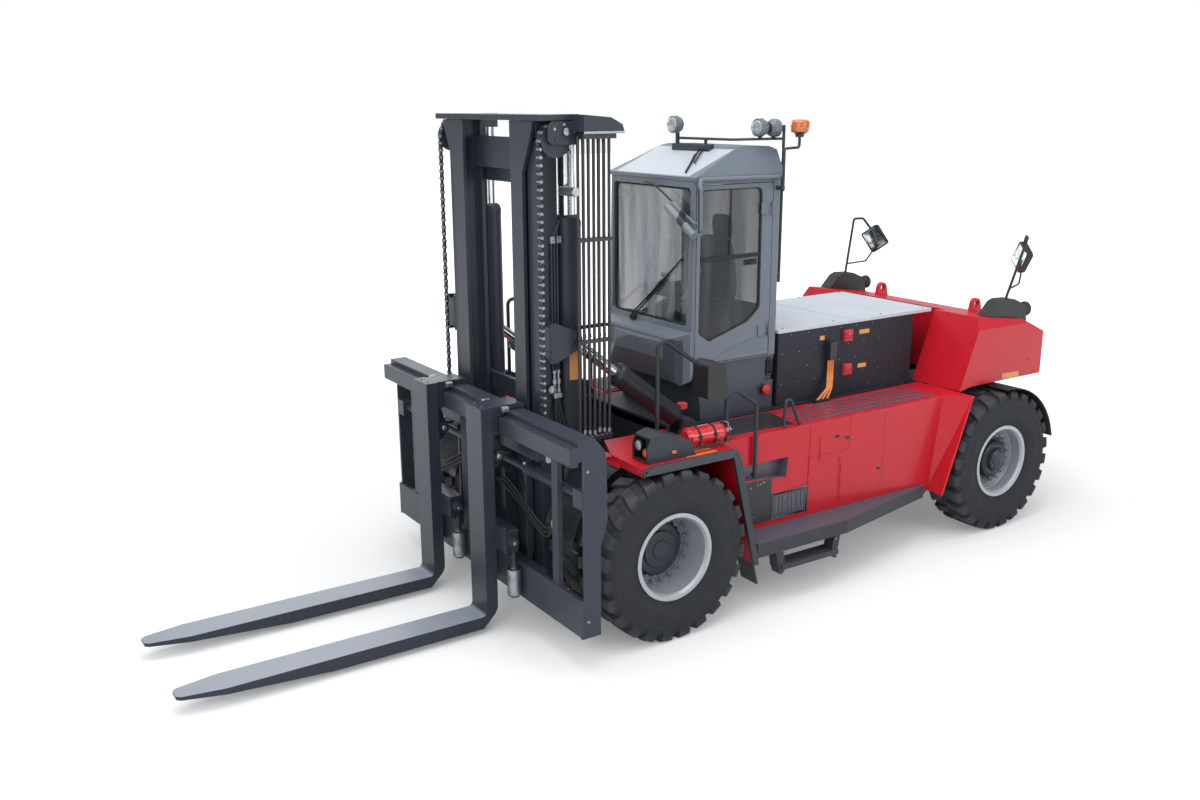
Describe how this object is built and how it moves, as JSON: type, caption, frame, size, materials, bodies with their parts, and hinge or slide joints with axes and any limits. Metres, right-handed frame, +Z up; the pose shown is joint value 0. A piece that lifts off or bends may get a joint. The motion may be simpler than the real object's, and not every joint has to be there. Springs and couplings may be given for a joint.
{
  "type": "electric heavy forklift",
  "caption": "Heavy counterbalanced forklift with a battery box behind a raised cab, two-stage mast, side-shifting fork frame, twin drive wheels and steered rear wheels.",
  "frame": {"origin": "on the floor under the middle of the whole machine, fork tips to counterweight", "axes": "+X forward towards the fork tips, +Y to the driver's left, +Z up"},
  "size_m": [8.393, 3.2, 3.97],
  "materials": {
    "frame_black": "satin",
    "body_red": "gloss",
    "fender_red": "gloss",
    "board_grey": "satin",
    "battery_charcoal": "satin",
    "cover_pale": "satin",
    "counterweight_red": "gloss",
    "axle_black": "satin",
    "cab_grey": "satin",
    "roof_pale": "gloss",
    "cab_glazing": "tinted",
    "interior_dark": "textured",
    "seat_fabric": "woven",
    "cable_orange": "moulded",
    "lamp_black": "moulded",
    "mirror_black": "moulded",
    "extinguisher_red": "gloss",
    "wheel_plastic": "moulded",
    "mast_slate": "satin",
    "cylinder_slate": "satin",
    "rod_chrome": "polished",
    "chain_steel": "oiled",
    "hose_black": "moulded",
    "carriage_slate": "satin",
    "fork_frame_slate": "satin",
    "fork_steel": "satin",
    "cylinder_black": "gloss",
    "tyre_black": "moulded",
    "rim_silver": "satin"
  },
  "bodies": {
    "chassis": {"chassis_frame": "frame_black", "side_bodies": "body_red", "front_fenders": "fender_red", "steps_and_rails": "board_grey", "power_cables": "cable_orange", "battery_box": "battery_charcoal", "battery_cover": "cover_pale", "counterweight": "counterweight_red", "drive_axle": "axle_black", "steer_axle": "axle_black", "cab_frame": "cab_grey", "cab_roof": "roof_pale", "cab_glass": "cab_glazing", "cab_interior": "interior_dark", "operator_seat": "seat_fabric", "lamps": "lamp_black", "mirrors": "mirror_black", "fire_extinguisher": "extinguisher_red"},
    "door": {"cab_door": "cab_grey", "door_glass": "cab_glazing"},
    "steering": {"steering_wheel": "wheel_plastic"},
    "mast": {"mast_outer": "mast_slate", "lift_cylinders": "cylinder_slate"},
    "inner_mast": {"mast_inner": "mast_slate", "lift_rods": "rod_chrome", "lift_chains": "chain_steel", "mast_hoses": "hose_black"},
    "lift_carriage": {"carriage": "carriage_slate"},
    "shift_frame": {"fork_frame": "fork_frame_slate"},
    "left_fork": {"fork_left": "fork_steel"},
    "right_fork": {"fork_right": "fork_steel"},
    "left_tilt_barrel": {"tilt_barrel_left": "cylinder_black"},
    "right_tilt_barrel": {"tilt_barrel_right": "cylinder_black"},
    "left_tilt_rod": {"tilt_rod_left": "rod_chrome"},
    "right_tilt_rod": {"tilt_rod_right": "rod_chrome"},
    "left_drive_wheels": {"front_tyres_left": "tyre_black", "front_rims_left": "rim_silver"},
    "right_drive_wheels": {"front_tyres_right": "tyre_black", "front_rims_right": "rim_silver"},
    "left_knuckle": {"knuckle_left": "axle_black"},
    "right_knuckle": {"knuckle_right": "axle_black"},
    "left_steer_wheel": {"rear_tyre_left": "tyre_black", "rear_rim_left": "rim_silver"},
    "right_steer_wheel": {"rear_tyre_right": "tyre_black", "rear_rim_right": "rim_silver"}
  },
  "joints": [
    {"name": "left_drive_wheels_turn", "type": "hinge", "parent": "chassis", "child": "left_drive_wheels", "pos_m": [0.6835, 1.341, 0.685], "axis": [0, 1, 0], "continuous": true},
    {"name": "right_drive_wheels_turn", "type": "hinge", "parent": "chassis", "child": "right_drive_wheels", "pos_m": [0.6835, -1.341, 0.685], "axis": [0, 1, 0], "continuous": true},
    {"name": "left_steer", "type": "hinge", "parent": "chassis", "child": "left_knuckle", "pos_m": [-3.3665, 0.9, 0.685], "axis": [0, 0, 1], "range_deg": [-60, 60]},
    {"name": "right_steer", "type": "hinge", "parent": "chassis", "child": "right_knuckle", "pos_m": [-3.3665, -0.9, 0.685], "axis": [0, 0, 1], "range_deg": [-60, 60]},
    {"name": "left_steer_wheel_turn", "type": "hinge", "parent": "left_knuckle", "child": "left_steer_wheel", "pos_m": [-3.3665, 1.19, 0.685], "axis": [0, 1, 0], "continuous": true},
    {"name": "right_steer_wheel_turn", "type": "hinge", "parent": "right_knuckle", "child": "right_steer_wheel", "pos_m": [-3.3665, -1.19, 0.685], "axis": [0, 1, 0], "continuous": true},
    {"name": "steering_wheel_turn", "type": "hinge", "parent": "chassis", "child": "steering", "pos_m": [-0.4345, 0, 2.432], "axis": [-0.5, 0, 0.866], "range_deg": [-720, 720]},
    {"name": "mast_tilt", "type": "hinge", "parent": "chassis", "child": "mast", "pos_m": [0.9635, 0, 0.45], "axis": [0, 1, 0], "range_deg": [-10, 5]},
    {"name": "mast_lift", "type": "slide", "parent": "mast", "child": "inner_mast", "axis": [0, 0, 1], "range_m": [0, 1.9]},
    {"name": "carriage_lift", "type": "slide", "parent": "inner_mast", "child": "lift_carriage", "axis": [0, 0, 1], "range_m": [0, 1.9]},
    {"name": "side_shift", "type": "slide", "parent": "lift_carriage", "child": "shift_frame", "axis": [0, 1, 0], "range_m": [-0.2, 0.2]},
    {"name": "left_fork_position", "type": "slide", "parent": "shift_frame", "child": "left_fork", "axis": [0, 1, 0], "range_m": [-0.15, 0.9]},
    {"name": "right_fork_position", "type": "slide", "parent": "shift_frame", "child": "right_fork", "axis": [0, 1, 0], "range_m": [-0.9, 0.15]},
    {"name": "left_tilt_barrel_swing", "type": "hinge", "parent": "chassis", "child": "left_tilt_barrel", "pos_m": [0.0935, 0.795, 1.5], "axis": [0, 1, 0], "range_deg": [-10.5, 6]},
    {"name": "left_tilt_rod_stroke", "type": "slide", "parent": "left_tilt_barrel", "child": "left_tilt_rod", "axis": [0.7944, 0, 0.6073], "range_m": [-0.4, 0.25]},
    {"name": "right_tilt_barrel_swing", "type": "hinge", "parent": "chassis", "child": "right_tilt_barrel", "pos_m": [0.0935, -0.795, 1.5], "axis": [0, 1, 0], "range_deg": [-10.5, 6]},
    {"name": "right_tilt_rod_stroke", "type": "slide", "parent": "right_tilt_barrel", "child": "right_tilt_rod", "axis": [0.7944, 0, 0.6073], "range_m": [-0.4, 0.25]},
    {"name": "door_swing", "type": "hinge", "parent": "chassis", "child": "door", "pos_m": [-0.9715, 0.63, 2.67], "axis": [0, 0, 1], "range_deg": [0, 100]}
  ],
  "couplings": [
    {"joint": "right_steer", "follows": "left_steer", "ratio": 1},
    {"joint": "steering_wheel_turn", "follows": "left_steer", "ratio": -12},
    {"joint": "carriage_lift", "follows": "mast_lift", "ratio": 1},
    {"joint": "left_tilt_barrel_swing", "follows": "mast_tilt", "ratio": 1.006},
    {"joint": "left_tilt_rod_stroke", "follows": "mast_tilt", "m_per_rad": 1.3595},
    {"joint": "right_tilt_barrel_swing", "follows": "mast_tilt", "ratio": 1.006},
    {"joint": "right_tilt_rod_stroke", "follows": "mast_tilt", "m_per_rad": 1.3595}
  ]
}
